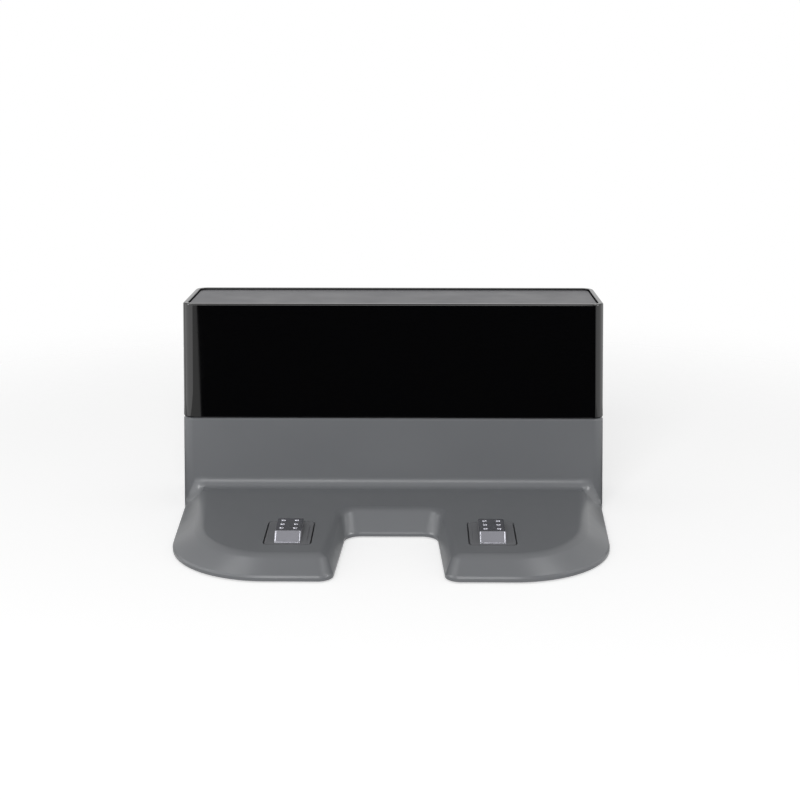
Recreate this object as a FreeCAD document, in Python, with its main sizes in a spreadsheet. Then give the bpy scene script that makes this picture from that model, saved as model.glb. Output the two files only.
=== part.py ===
"""Charging dock for a robot vacuum: a ramp base, a tower with an infrared beacon and two sprung contacts.

Sizes are in millimetres and degrees. X runs to the right, the ramp points to -Y, and Z is up from
the floor. The origin is under the middle of the dock.
"""
import FreeCAD, Part
import os
import re
import Sketcher

Vector = FreeCAD.Vector
# How near an edge lies to the place it is looked for
NEAR = 0.01

SIZES = {
    # Tower
    "height": 108.3,
    "top_width": 210,
    "tower_depth": 50,
    "side_draft": 1.78,
    "tower_corner": 6,
    "seam_height": 49.6,
    "seam_edge": 0.9,
    "wall": 2.4,
    "deck": 2.4,
    # Ramp base
    "base_reach": 98.2,
    "floor_gap": 0.8,
    "lip": 2.5,
    "lip_round": 1,
    "lip_inset": 0.5,
    "base_tuck": 8,
    "base_inset": 0.6,
    "nose_width": 202.6,
    "nose_radius": 48.6,
    "ramp_back": 13.6,
    "ramp_front": 10.1,
    "ramp_radius": 37.5,
    "bevel_front": 9.9,
    "bevel_nose": 14,
    "bevel_back": 9.4,
    "foot_fillet": 5.2,
    "skin_foot": 3.4,
    "skin_crown": 1.2,
    # Caster notch
    "notch_depth": 58.6,
    "notch_heel_width": 44.4,
    "notch_mouth_width": 50.6,
    "notch_lean_back": 9.6,
    "notch_lean_heel": 2.4,
    "notch_lean_mouth": 4.3,
    "notch_corner": 8,
    "mouth_radius": 7,
    "mouth_ramp_radius": 5,
    # Window sleeve and top cover
    "window_edge": 0.5,
    "rim_height": 3,
    "rim_wall": 1.6,
    "rim_gap": 0.15,
    "rim_corner": 12,
    "ledge": 1.6,
    "ledge_width": 2.6,
    "ledge_root": 0.5,
    "cover": 2,
    "cover_sink": 0.9,
    "cover_gap": 0.3,
    # Bottom plate, its feet and its screws
    "plate": 2.6,
    "plate_gap": 0.3,
    "tongue": 1.6,
    "tongue_thick": 1.2,
    "tongue_width": 14,
    "tongue_spread": 84,
    "foot_width": 22,
    "foot_length": 9,
    "foot_gap": 0.1,
    "foot_sink": 1,
    "foot_room": 3,
    "foot_side_front": 31.3,
    "foot_inset_front": 32,
    "foot_inset_rear": 11,
    "screw": 2.8,
    "screw_fit": 0.1,
    "screw_free": 0.6,
    "screw_bite": 9,
    "screw_room": 1,
    "head_diameter": 5.6,
    "head_height": 1.2,
    "head_sink": 1.3,
    "boss": 7,
    "boss_merge": 0.4,
    "boss_height": 32,
    "boss_inset": 9,
    # Contacts
    "contact_spacing": 94.6,
    "contact_reach": 63.1,
    "well_width": 22.5,
    "well_length": 29,
    "well_corner": 2.6,
    "well_gap": 0.7,
    "carrier_wall": 1.5,
    "carrier_flange": 1.3,
    "flange_overlap": 1.3,
    "flange_gap": 0.25,
    "block_width": 12.6,
    "block_height": 3.5,
    "block_foot": 11.6,
    "block_nose": 6.9,
    "block_tail": 8.1,
    "block_heel": 9.6,
    "block_root": 0.6,
    "shoulder_height": 0.7,
    "shoulder_width": 2.6,
    "shoulder_slope": 0.6,
    "strip": 0.5,
    "strip_width": 12,
    "strip_gap": 0.08,
    "strip_bend": 1,
    "strip_tail": 3.6,
    "strip_toe": 0.9,
    "slot_gap": 0.25,
    "bump_diameter": 2.4,
    "bump_height": 0.6,
    "bump_column": 6.3,
    "bump_row": 4.85,
    "bump_shift": 0.7,
    "spring_width": 7,
    "spring_leaf": 0.4,
    "spring_crown": 5,
    "spring_span": 14,
    "spring_foot": 4,
    "spring_bend": 1.2,
    "spring_gap": 0.1,
    "stop": 0.8,
    "stop_gap": 0.15,
    # Inlet bay at the back
    "bay_margin": 2.64,
    "bay_width": 56,
    "bay_depth": 20,
    "bay_height": 35,
    "inlet_width": 10.4,
    "inlet_height": 20.4,
    "inlet_length": 17,
    "inlet_gap": 0.15,
    "inlet_flange": 2,
    "inlet_flange_rim": 1.6,
    "inlet_level": 22,
    "socket_width": 7.2,
    "socket_height": 15.8,
    "socket_corner": 3,
    "socket_depth": 11.5,
    "pin": 2.4,
    "pin_pitch": 8.6,
    "pin_tip": 2,
    "blade": 0.8,
    "blade_width": 1.6,
    "blade_gap": 0.1,
    "blade_reach": 5.5,
    "blade_step": 2.5,
    # Power board
    "board": 1.6,
    "board_lift": 6,
    "board_offset": 43,
    "board_width": 78,
    "board_depth": 40,
    "post": 6,
    "post_inset": 4,
    "clip": 1.6,
    "clip_width": 8,
    "clip_hook": 1.2,
    "clip_gap": 0.15,
    "core_width": 26,
    "core_height": 20,
    "core_depth": 8,
    "core_leg": 3.5,
    "winding_wall": 5.5,
    "winding_gap": 0.25,
    "winding_corner": 3,
    "core_x": -11,
    "core_y": 0,
    "mains_capacitor_diameter": 12.5,
    "mains_capacitor_height": 24,
    "mains_capacitor_x": 13,
    "mains_capacitor_y": 9,
    "filter_width": 14,
    "filter_depth": 16,
    "filter_height": 15,
    "filter_x": 25,
    "filter_y": -8,
    "fuse_width": 8.5,
    "fuse_depth": 4,
    "fuse_height": 8,
    "fuse_x": 13,
    "fuse_y": -12,
    "output_capacitor_width": 8,
    "output_capacitor_depth": 8,
    "output_capacitor_height": 10,
    "output_capacitor_x": -31,
    "output_capacitor_y": 2,
    "sink_width": 22,
    "sink_height": 18,
    "sink_foot": 7,
    "sink_plate": 1.8,
    "sink_x": -11,
    "sink_y": 15.5,
    # Beacon
    "beam_height": 78,
    "beam_pitch": 24,
    "holder_width": 104,
    "holder_setback": 9,
    "holder_wall": 3,
    "holder_depth": 17,
    "holder_foot": 2.4,
    "holder_height": 42,
    "peg": 4,
    "peg_gap": 0.15,
    "peg_side": 10,
    "peg_inset": 5,
    "peg_head": 0.8,
    "divider": 1.4,
    "divider_gap": 0.8,
    "divider_spread": 48,
    "aperture": 7,
    "beacon_board_side": 4,
    "beacon_board_height": 24,
    "emitter_width": 4.4,
    "emitter_depth": 2.2,
    "emitter_cup": 3,
    "emitter_cup_depth": 1.2,
    # Leads
    "strap": 0.6,
    "strap_width": 3,
    "strap_gap": 0.1,
    "strap_inset": 6,
    "strap_x": 28,
    "strap_setback": 14,
    "ribbon": 0.6,
    "ribbon_width": 7,
    "ribbon_room": 1.2,
    "ribbon_x": 26,
    "ribbon_y": 4,
    "ribbon_drop": 8,
}

document = FreeCAD.newDocument("charging_dock")
sheet = document.addObject("Spreadsheet::Sheet", "dims")
for row, (name, size) in enumerate(SIZES.items(), start=1):
    sheet.set(f"A{row}", name)
    sheet.set(f"B{row}", str(size))
    sheet.setAlias(f"B{row}", name)
document.recompute()

# Places that several pieces share, as sums of the named sizes
FRONT = "(-(base_reach + tower_depth) / 2)"
FACE = "((base_reach - tower_depth) / 2)"
REAR = "((base_reach + tower_depth) / 2)"
HEEL = f"({FRONT} + notch_depth)"
RAMP_LENGTH = "(base_reach - bevel_front)"
SLOPE = f"((ramp_back - ramp_front) / {RAMP_LENGTH})"
LIP_TOP = "(floor_gap + lip)"
PLATE_TOP = "(floor_gap + plate)"
WELL = f"({FACE} - contact_reach)"
SPRING_END = "(spring_span / 2 + spring_foot)"
DECK_UNDER = "(seam_height - deck)"
COVER_UNDER = "(height - cover_sink - cover)"
BOARD_UNDER = f"({PLATE_TOP} + board_lift)"
BOARD_TOP = f"({BOARD_UNDER} + board)"
BOARD_Y = f"({FACE} + tower_depth / 2)"
HOLDER_FRONT = f"({FACE} + holder_setback)"
HOLDER_BACK = f"({HOLDER_FRONT} + holder_wall)"
BEACON_BACK = f"({HOLDER_BACK} + board)"
BAY_Y = f"({REAR} - bay_depth / 2)"
FLANGE_TOP = "(wall + flange_gap)"
FLANGE_UNDER = f"({FLANGE_TOP} + carrier_flange)"
STRIP_UNDER = "(block_height + strip_gap)"


def tower_half(level):
    """Half the tower's width at a height above the floor."""
    return f"(top_width / 2 + (height - ({level})) * tan(side_draft))"


def ramp_level(y):
    """Height of the ramp's surface at a place along Y."""
    return f"(ramp_back - ({FACE} - ({y})) * {SLOPE})"


def bound(text):
    """A sum with each named size read from the sheet."""
    return re.sub(r"[a-z_]+", lambda word: f"dims.{word[0]}" if word[0] in SIZES else word[0], text)


def measure(text):
    """What a sum of named sizes comes to."""
    result = sheet.evalExpression(bound(text))
    return getattr(result, "Value", result)


def new_body(name):
    return document.addObject("PartDesign::Body", name)


def sketch(body, name, plane, offset=("0", "0", "0"), tilt=None):
    """A sketch on one of the body's own planes, moved by an offset in the plane's own axes."""
    item = body.newObject("Sketcher::SketchObject", f"{body.Name}_{name}")
    role = f"{plane}_Plane"
    item.AttachmentSupport = [(next(f for f in body.Origin.OriginFeatures if f.Role == role), "")]
    item.MapMode = "FlatFace"
    if tilt:
        lean = FreeCAD.Rotation(Vector(1, 0, 0), measure(tilt))
        item.AttachmentOffset = FreeCAD.Placement(Vector(), lean)
        item.setExpression("AttachmentOffset.Rotation.Angle", bound(tilt))
    for axis, distance in zip("xyz", offset):
        item.setExpression(f"AttachmentOffset.Base.{axis}", bound(distance))
    return item


def constrain(item, kind, *where, size):
    """Add one driving dimension and tie it to the sheet."""
    index = item.addConstraint(Sketcher.Constraint(kind, *where, measure(size)))
    item.setExpression(f"Constraints[{index}]", bound(size))


def outline(item, corners):
    """Draw a closed line through (x, y, radius) corners, rounding those that have a radius."""
    points = [Vector(measure(x), measure(y), 0) for x, y, radius in corners]
    count = len(points)
    first = item.GeometryCount
    for index in range(count):
        item.addGeometry(Part.LineSegment(points[index], points[(index + 1) % count]))
    for index in range(count):
        after = first + (index + 1) % count
        item.addConstraint(Sketcher.Constraint("Coincident", first + index, 2, after, 1))
    for index, (x, y, radius) in enumerate(corners):
        constrain(item, "DistanceX", -1, 1, first + index, 1, size=x)
        constrain(item, "DistanceY", -1, 1, first + index, 1, size=y)
    for index, (x, y, radius) in enumerate(corners):
        if radius:
            round_corner(item, points, first, index, radius)
    return item


def round_corner(item, points, first, index, radius):
    """Round one corner of a closed line whose sides are numbered from first."""
    corner = points[index]
    before = (corner + points[index - 1]) / 2
    after = (corner + points[(index + 1) % len(points)]) / 2
    known = item.GeometryCount
    sides = (first + (index - 1) % len(points), first + index)
    item.fillet(*sides, before, after, measure(radius), True, True)
    added = range(known, item.GeometryCount)
    arc = next(number for number in added if isinstance(item.Geometry[number], Part.ArcOfCircle))
    constrain(item, "Radius", arc, size=radius)


def circle(item, x, y, diameter):
    middle = Vector(measure(x), measure(y), 0)
    index = item.addGeometry(Part.Circle(middle, Vector(0, 0, 1), measure(diameter) / 2))
    constrain(item, "DistanceX", -1, 1, index, 3, size=x)
    constrain(item, "DistanceY", -1, 1, index, 3, size=y)
    constrain(item, "Diameter", index, size=diameter)
    return item


def circles(item, places, diameter):
    for x, y in places:
        circle(item, x, y, diameter)
    return item


def rectangle(item, left, right, low, high, radius=None):
    corners = [(left, low), (right, low), (right, high), (left, high)]
    return outline(item, [(x, y, radius) for x, y in corners])


def extrude(kind, body, profile, length, symmetric, reverse):
    feature = body.newObject(f"PartDesign::{kind}", f"{profile.Name}_{kind.lower()}")
    feature.Profile = profile
    feature.setExpression("Length", bound(length))
    feature.Reversed = reverse
    if symmetric:
        feature.SideType = "Symmetric"
    return feature


def pad(body, profile, length, symmetric=False, reverse=False):
    return extrude("Pad", body, profile, length, symmetric, reverse)


def pocket(body, profile, length, symmetric=False, reverse=False):
    return extrude("Pocket", body, profile, length, symmetric, reverse)


def loft(body, name, sections):
    feature = body.newObject("PartDesign::AdditiveLoft", f"{body.Name}_{name}")
    feature.Profile = sections[0]
    feature.Sections = sections[1:]
    feature.Ruled = True
    return feature


def soften(kind, body, name, size, wanted):
    """Fillet or chamfer the edges of the body's last feature that a test picks."""
    document.recompute()
    base = body.Tip
    edges = [f"Edge{number}" for number, edge in enumerate(base.Shape.Edges, start=1) if wanted(edge)]
    feature = body.newObject(f"PartDesign::{kind}", f"{body.Name}_{name}")
    feature.Base = (base, edges)
    feature.setExpression("Radius" if kind == "Fillet" else "Size", bound(size))
    return feature


def mirrored(half):
    """A closed outline from the corners of its right half, front and back ends on the middle plane."""
    return half + [(f"-({x})", y, radius) for x, y, radius in reversed(half)]


def both_sides(places):
    return places + [(f"-({x})", y) for x, y in places]


def floor_line(inset):
    """The base's outline at the floor, drawn in by an inset."""
    back = f"{tower_half('floor_gap')} - base_inset - {inset}"
    return mirrored([
        (back, f"{FACE} + base_tuck", None),
        (f"nose_width / 2 - {inset}", f"{FRONT} + {inset}", f"nose_radius - {inset}"),
        (f"notch_mouth_width / 2 + {inset}", f"{FRONT} + {inset}", f"mouth_radius - {inset}"),
        (f"notch_heel_width / 2 + {inset}", f"{HEEL} + {inset}", f"notch_corner + {inset}"),
    ])


def ramp_line(inset):
    """The edge of the ramp's sloping top, drawn in by an inset and measured from the tower's face."""
    back = f"{tower_half('floor_gap')} - base_inset - bevel_back - {inset}"
    nose = f"-{RAMP_LENGTH} + {inset}"
    return mirrored([
        (back, "base_tuck", None),
        (f"nose_width / 2 - bevel_nose - {inset}", nose, f"ramp_radius - {inset}"),
        (f"notch_mouth_width / 2 + notch_lean_mouth + {inset}", nose, f"mouth_ramp_radius - {inset}"),
        (f"notch_heel_width / 2 + notch_lean_heel + {inset}",
         f"notch_depth + notch_lean_back - base_reach + {inset}", f"notch_corner + {inset}"),
    ])


def tower_line(level, inset):
    """The tower's outline at a height, drawn in by an inset."""
    half = f"{tower_half(level)} - {inset}"
    corner = f"tower_corner - {inset}"
    return mirrored([(half, f"{FACE} + {inset}", corner), (half, f"{REAR} - {inset}", corner)])


def tower_box(level, inset):
    """Left, right, front and back of the tower at a height, drawn in by an inset."""
    half = f"{tower_half(level)} - {inset}"
    return f"-({half})", half, f"{FACE} + {inset}", f"{REAR} - {inset}"


def flat(body, name, level):
    return sketch(body, name, "XY", ("0", "0", level))


def facing(body, name, y):
    """A sketch seen from the front, at a place along Y."""
    return sketch(body, name, "XZ", ("0", "0", f"-({y})"))


def sideways(body, name, x):
    """A sketch seen along X, at a place along X."""
    return sketch(body, name, "YZ", ("0", "0", x))


def floor_section(body, name, inset, level):
    return outline(flat(body, name, level), floor_line(inset))


def ramp_section(body, name, inset, drop):
    place = ("0", FACE, f"ramp_back - {drop}")
    return outline(sketch(body, name, "XY", place, tilt=f"atan({SLOPE})"), ramp_line(inset))


def tower_face(body, name, low, high, inset):
    """The tower's leaning sides between two heights, seen from the front and drawn in by an inset."""
    face = facing(body, name, f"{FACE} + {inset}")
    wide = f"{tower_half(low)} - {inset}"
    narrow = f"{tower_half(high)} - {inset}"
    return outline(face, [(f"-({wide})", low, None), (wide, low, None),
                          (narrow, high, None), (f"-({narrow})", high, None)])


def tower_solid(body, name, low, high):
    """A solid length of the tower, with its four corners rounded."""
    pad(body, tower_face(body, name, low, high, "0"), "tower_depth", reverse=True)
    soften("Fillet", body, f"{name}_corners", "tower_corner", upright)


def tower_room(body, name, low, high):
    """Hollow out a length of the tower."""
    pocket(body, tower_face(body, name, low, high, "wall"), "tower_depth - 2 * wall")
    inner = [measure(f"{FACE} + wall"), measure(f"{REAR} - wall")]
    soften("Fillet", body, f"{name}_corners", "tower_corner - wall",
           lambda edge: upright(edge) and min(abs(edge.CenterOfMass.y - y) for y in inner) < NEAR)


def upright(edge):
    """Whether an edge runs up the tower or a contact, leaning a little at most."""
    way = edge.tangentAt(edge.FirstParameter)
    return abs(way.z) > abs(way.x) + abs(way.y)


def at_level(level):
    """A test for edges that lie at one height."""
    return lambda edge: all(abs(vertex.Z - measure(level)) < NEAR for vertex in edge.Vertexes)


def at_tower_foot(edge):
    """Whether an edge is the long one where the tower's face meets the ramp."""
    foot = Vector(0, measure(FACE), measure("ramp_back"))
    return edge.CenterOfMass.distanceToPoint(foot) < NEAR


SIDES = {"left": "-", "right": ""}
SCREW_X = f"({tower_half('floor_gap')} - wall - boss / 2 + boss_merge)"
REAR_FOOT_X = f"({SCREW_X} - head_diameter / 2 - foot_room - foot_width / 2)"
BAY_RIGHT = f"({REAR_FOOT_X} - foot_width / 2 - bay_margin - wall)"
BAY_LEFT = f"({BAY_RIGHT} - bay_width)"
BEACON_WIDTH = "(holder_width - 2 * beacon_board_side)"
BASE_SCREWS = both_sides([(SCREW_X, f"{REAR} - boss_inset")])
FEET = {
    "front": ("(nose_width / 2 - foot_side_front)", f"{FRONT} + foot_inset_front"),
    "rear": (REAR_FOOT_X, f"{REAR} - foot_inset_rear"),
}
BEAMS = {"far_left": "-beam_pitch * 1.5", "left": "-beam_pitch / 2",
         "right": "beam_pitch / 2", "far_right": "beam_pitch * 1.5"}
PEGS = both_sides([("(holder_width / 2 - peg_side)", f"{HOLDER_FRONT} + holder_depth - peg_inset")])
TONGUES = both_sides([("tongue_spread / 2", f"{FRONT} + skin_foot + plate_gap")])
PINS = [(BAY_Y, "inlet_level + pin_pitch / 2"), (BAY_Y, "inlet_level - pin_pitch / 2")]


def oblong(item, x, y, width, depth):
    """A rectangle about a middle point."""
    return rectangle(item, f"{x} - ({width}) / 2", f"{x} + ({width}) / 2",
                     f"{y} - ({depth}) / 2", f"{y} + ({depth}) / 2")


def housing():
    """Grey shell: the lower half of the tower, and the ramp with its notch and wells."""
    body = new_body("housing")
    tower_solid(body, "tower", "floor_gap", "seam_height")
    soften("Chamfer", body, "seam", "seam_edge", at_level("seam_height"))
    loft(body, "base", [
        floor_section(body, "floor", "0", "floor_gap"),
        floor_section(body, "lip", "0", f"{LIP_TOP} - lip_round"),
        floor_section(body, "lip_top", "lip_inset", LIP_TOP),
        ramp_section(body, "ramp", "0", "0"),
    ])
    soften("Fillet", body, "tower_foot", "foot_fillet", at_tower_foot)
    tower_room(body, "tower_room", "floor_gap", DECK_UNDER)
    pocket(body, floor_section(body, "plate_room", "skin_foot", "floor_gap"), "plate", reverse=True)
    pocket(body, ramp_section(body, "ramp_room", "skin_crown", "wall"), "ramp_back")
    wells = flat(body, "wells", PLATE_TOP)
    for sign in SIDES.values():
        middle = f"{sign}contact_spacing / 2"
        rectangle(wells, f"{middle} - well_width / 2", f"{middle} + well_width / 2",
                  f"{WELL} - well_length / 2", f"{WELL} + well_length / 2", "well_corner")
    pocket(body, wells, "ramp_back", reverse=True)
    slots = flat(body, "tongue_slots", PLATE_TOP)
    for x, y in TONGUES:
        oblong(slots, x, y, "tongue_width + 2 * plate_gap", "2 * tongue + 2 * plate_gap")
    pocket(body, slots, "tongue_thick + plate_gap")
    inlet_bay(body)
    bosses = flat(body, "bosses", PLATE_TOP)
    for x, y in BASE_SCREWS:
        oblong(bosses, x, y, "boss", "boss")
    pad(body, bosses, "boss_height")
    holes = circles(flat(body, "boss_holes", PLATE_TOP), BASE_SCREWS, "screw + screw_fit")
    pocket(body, holes, "screw_bite + screw_room", reverse=True)
    deck_details(body)


def inlet_bay(body):
    """Recess in the back wall, open below, with the inlet's hole in its left side."""
    walls = rectangle(flat(body, "bay_walls", "floor_gap"), f"{BAY_LEFT} - wall", f"{BAY_RIGHT} + wall",
                      f"{REAR} - bay_depth - wall", f"{REAR} - wall / 2")
    pad(body, walls, "bay_height + wall - floor_gap")
    room = rectangle(flat(body, "bay_room", "floor_gap"), BAY_LEFT, BAY_RIGHT,
                     f"{REAR} - bay_depth", f"{REAR} + wall")
    pocket(body, room, "bay_height - floor_gap", reverse=True)
    hole = oblong(sideways(body, "inlet_hole", BAY_LEFT), BAY_Y, "inlet_level",
                  "inlet_width + 2 * inlet_gap", "inlet_height + 2 * inlet_gap")
    pocket(body, hole, "wall")


def deck_details(body):
    """Ribs that locate the window, pegs for the emitter holder, and the way for the ribbon."""
    left, right, front, back = tower_box("(seam_height + rim_height)", "(wall + rim_gap)")
    ribs = flat(body, "ribs", "seam_height")
    for low, high in ((front, f"{front} + rim_wall"), (f"{back} - rim_wall", back)):
        rectangle(ribs, f"{left} + rim_corner", f"{right} - rim_corner", low, high)
    for low, high in ((left, f"{left} + rim_wall"), (f"{right} - rim_wall", right)):
        rectangle(ribs, low, high, f"{front} + rim_corner", f"{back} - rim_corner")
    pad(body, ribs, "rim_height")
    pegs = flat(body, "pegs", "seam_height")
    for x, y in PEGS:
        oblong(pegs, x, y, "peg", "peg")
    pad(body, pegs, "holder_foot + peg_head")
    way = oblong(flat(body, "ribbon_way", "seam_height"), *on_board("ribbon"),
                 "ribbon_width + ribbon_room", "ribbon + ribbon_room")
    pocket(body, way, "deck")


def ir_window():
    """Gloss black sleeve round the top of the tower, with a ledge for the cover."""
    body = new_body("ir_window")
    tower_solid(body, "sleeve", "seam_height", "height")
    soften("Chamfer", body, "bottom", "window_edge", at_level("seam_height"))
    soften("Chamfer", body, "top", "window_edge", at_level("height"))
    tower_room(body, "room", "seam_height", "height")
    ledge = flat(body, "ledge", f"{COVER_UNDER} - ledge")
    rectangle(ledge, *tower_box(COVER_UNDER, "(wall - ledge_root)"))
    rectangle(ledge, *tower_box(COVER_UNDER, "(wall + ledge_width)"))
    pad(body, ledge, "ledge")


def top_cover():
    body = new_body("top_cover")
    edge = tower_line("height", "(wall + cover_gap)")
    pad(body, outline(flat(body, "plate", COVER_UNDER), edge), "cover")


def bottom_plate():
    """Closes the housing from below, and carries the feet, the power board and the contact springs."""
    body = new_body("bottom_plate")
    pad(body, floor_section(body, "ramp_part", "(skin_foot + plate_gap)", "floor_gap"), "plate")
    edge = tower_line("floor_gap", "(wall + plate_gap)")
    pad(body, outline(flat(body, "tower_part", "floor_gap"), edge), "plate")
    bay = rectangle(flat(body, "bay", PLATE_TOP), f"{BAY_LEFT} - wall - plate_gap",
                    f"{BAY_RIGHT} + wall + plate_gap", f"{REAR} - bay_depth - wall - plate_gap", REAR)
    pocket(body, bay, "plate")
    tongues = flat(body, "tongues", PLATE_TOP)
    for x, y in TONGUES:
        oblong(tongues, x, y, "tongue_width", "2 * tongue")
    pad(body, tongues, "tongue_thick", reverse=True)
    pocket(body, circles(flat(body, "screw_holes", PLATE_TOP), BASE_SCREWS, "screw + screw_free"), "plate")
    sinks = circles(flat(body, "head_sinks", "floor_gap"), BASE_SCREWS, "head_diameter + screw_free")
    pocket(body, sinks, "head_sink", reverse=True)
    seats = flat(body, "foot_seats", "floor_gap")
    for x, y in both_sides(list(FEET.values())):
        oblong(seats, x, y, "foot_width + 2 * foot_gap", "foot_length + 2 * foot_gap")
    pocket(body, seats, "foot_sink", reverse=True)
    board_mounts(body)
    stops = flat(body, "spring_stops", PLATE_TOP)
    for sign in SIDES.values():
        front = f"{WELL} - {SPRING_END} - stop_gap"
        middle = f"{sign}contact_spacing / 2"
        rectangle(stops, f"{middle} - spring_width / 2", f"{middle} + spring_width / 2",
                  f"{front} - stop", front)
    pad(body, stops, "stop")


def board_mounts(body):
    """Posts under the power board's corners, and two clips that hold its ends down."""
    posts = flat(body, "posts", PLATE_TOP)
    for side in "+-":
        for end in "+-":
            oblong(posts, f"-board_offset {side} (board_width / 2 - post_inset)",
                   f"{BOARD_Y} {end} (board_depth / 2 - post_inset)", "post", "post")
    pad(body, posts, "board_lift")
    for name, way in (("left", "-"), ("right", "+")):
        edge = f"-board_offset {way} (board_width / 2 + clip_gap)"
        back = f"-board_offset {way} (board_width / 2 + clip_gap + clip)"
        tip = f"-board_offset {way} (board_width / 2 + clip_gap - clip_hook)"
        hook = f"{BOARD_TOP} + clip_gap"
        clip = facing(body, f"{name}_clip", BOARD_Y)
        outline(clip, [(edge, PLATE_TOP, None), (back, PLATE_TOP, None), (back, f"{hook} + clip", None),
                       (tip, hook, None), (edge, hook, None)])
        pad(body, clip, "clip_width", symmetric=True)


def foot_pads():
    """Rubber strips let into the bottom plate."""
    for end, (x, y) in FEET.items():
        for side, sign in SIDES.items():
            block(f"foot_pad_{end}_{side}", f"{sign}({x})", y, "0",
                  "foot_width", "foot_length", "floor_gap + foot_sink")


def base_screws():
    body = new_body("base_screws")
    seat = "floor_gap + head_sink"
    heads = circles(flat(body, "heads", seat), BASE_SCREWS, "head_diameter")
    pad(body, heads, "head_height", reverse=True)
    pad(body, circles(flat(body, "shanks", seat), BASE_SCREWS, "screw"), "plate - head_sink + screw_bite")


def along(distance, lift):
    """A corner of a contact's side view: how far behind the well's middle, and how far above the ramp."""
    y = f"({WELL} + ({distance}))"
    return y, f"{ramp_level(y)} + ({lift})"


def side_view(body, name, sign, corners):
    """A contact's outline seen along X, in the middle plane of its well."""
    item = sideways(body, name, f"{sign}contact_spacing / 2")
    return outline(item, [(*along(distance, lift), radius) for distance, lift, radius in corners])


def band(body, name, sign, front, back, low, high):
    """A four-sided outline between two places along a contact and two levels over the ramp."""
    return side_view(body, name, sign, [(front, low, None), (back, low, None), (back, high, None),
                                        (front, high, None)])


def contact_carrier(side, sign):
    """Floating block: a cap that fills the well, held under the skin by its flange."""
    body = new_body(f"contact_carrier_{side}")
    reach = "(well_length / 2 - well_gap)"
    pad(body, band(body, "cap", sign, f"-{reach}", reach, f"-{FLANGE_UNDER}", "0"),
        "well_width - 2 * well_gap", symmetric=True)
    soften("Fillet", body, "corners", "well_corner - well_gap", upright)
    lap = "(well_length / 2 + flange_overlap)"
    pad(body, band(body, "flange", sign, f"-{lap}", lap, f"-{FLANGE_UNDER}", f"-{FLANGE_TOP}"),
        "well_width + 2 * flange_overlap", symmetric=True)
    for name, nose, top, width in (
        ("shoulder", "-block_nose - shoulder_slope", "shoulder_height",
         "block_width + 2 * shoulder_width"),
        ("block", "-block_nose", "block_height", "block_width"),
    ):
        profile = side_view(body, name, sign, [
            ("-block_foot", "-block_root", None), ("block_heel", "-block_root", None),
            ("block_tail", top, None), (nose, top, None)])
        pad(body, profile, width, symmetric=True)
    inner = f"({reach} - carrier_wall)"
    pocket(body, band(body, "hollow", sign, f"-{inner}", inner, f"-{FLANGE_UNDER}", "-carrier_wall"),
           "well_width - 2 * well_gap - 2 * carrier_wall", symmetric=True)
    opening = band(body, "opening", sign, "-block_nose + carrier_wall", "block_tail - carrier_wall",
                   f"-{FLANGE_UNDER}", "block_height")
    pocket(body, opening, "block_width - 2 * carrier_wall", symmetric=True)
    slot = band(body, "slot", sign, "block_heel - slot_gap", "block_heel + strip + slot_gap",
                f"-{FLANGE_UNDER}", "shoulder_height")
    pocket(body, slot, "strip_width + 2 * slot_gap", symmetric=True)


def contact_plate(side, sign):
    """Bright strip folded over the block, with six bumps that meet the vacuum."""
    body = new_body(f"contact_plate_{side}")
    top = f"{STRIP_UNDER} + strip"
    skin = "strip_gap + strip"
    fold = side_view(body, "fold", sign, [
        ("-block_foot - strip_toe", "strip_gap", None),
        ("-block_foot - strip_toe", skin, None),
        (f"-block_foot - ({skin})", skin, None),
        (f"-block_nose - ({skin})", top, "strip_bend"),
        (f"block_tail + ({skin}) / 2", top, "strip_bend"),
        ("block_heel + strip", "0", None),
        ("block_heel + strip", "-strip_tail", None),
        ("block_heel", "-strip_tail", None),
        ("block_heel", "0", None),
        ("block_tail + strip_gap", STRIP_UNDER, None),
        ("-block_nose - strip_gap", STRIP_UNDER, None),
        ("-block_foot - strip_gap", "strip_gap", None),
    ])
    pad(body, fold, "strip_width", symmetric=True)
    middle = f"{sign}contact_spacing / 2"
    rows = ("bump_shift - bump_row", "bump_shift", "bump_shift + bump_row")
    places = [(f"{middle} {column} bump_column / 2", row) for column in "+-" for row in rows]
    place = ("0", WELL, f"{ramp_level(WELL)} + {top}")
    bumps = circles(sketch(body, "bumps", "XY", place, tilt=f"atan({SLOPE})"), places, "bump_diameter")
    pad(body, bumps, "bump_height")


def contact_spring(side, sign):
    """Bow of spring steel: it lifts the carrier and feeds the strip above it."""
    body = new_body(f"contact_spring_{side}")
    foot = f"{PLATE_TOP} + spring_leaf"
    crown = f"{ramp_level(WELL)} + {STRIP_UNDER} - spring_gap"
    bow = sideways(body, "bow", f"{sign}contact_spacing / 2")
    upper = [(SPRING_END, foot, None), ("(spring_span / 2)", foot, None),
             ("(spring_crown / 2)", crown, "spring_bend + spring_leaf")]
    lower = [("(spring_crown / 2 - spring_leaf / 2)", f"{crown} - spring_leaf", "spring_bend"),
             ("(spring_span / 2 - spring_leaf / 2)", PLATE_TOP, None),
             (SPRING_END, PLATE_TOP, None)]
    front = [(f"{WELL} - {y}", z, radius) for y, z, radius in upper]
    back = [(f"{WELL} + {y}", z, radius) for y, z, radius in reversed(upper)]
    under = [(f"{WELL} + {y}", z, radius) for y, z, radius in reversed(lower)]
    inside = [(f"{WELL} - {y}", z, radius) for y, z, radius in lower]
    outline(bow, front + back + under + inside)
    pad(body, bow, "spring_width", symmetric=True)


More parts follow.
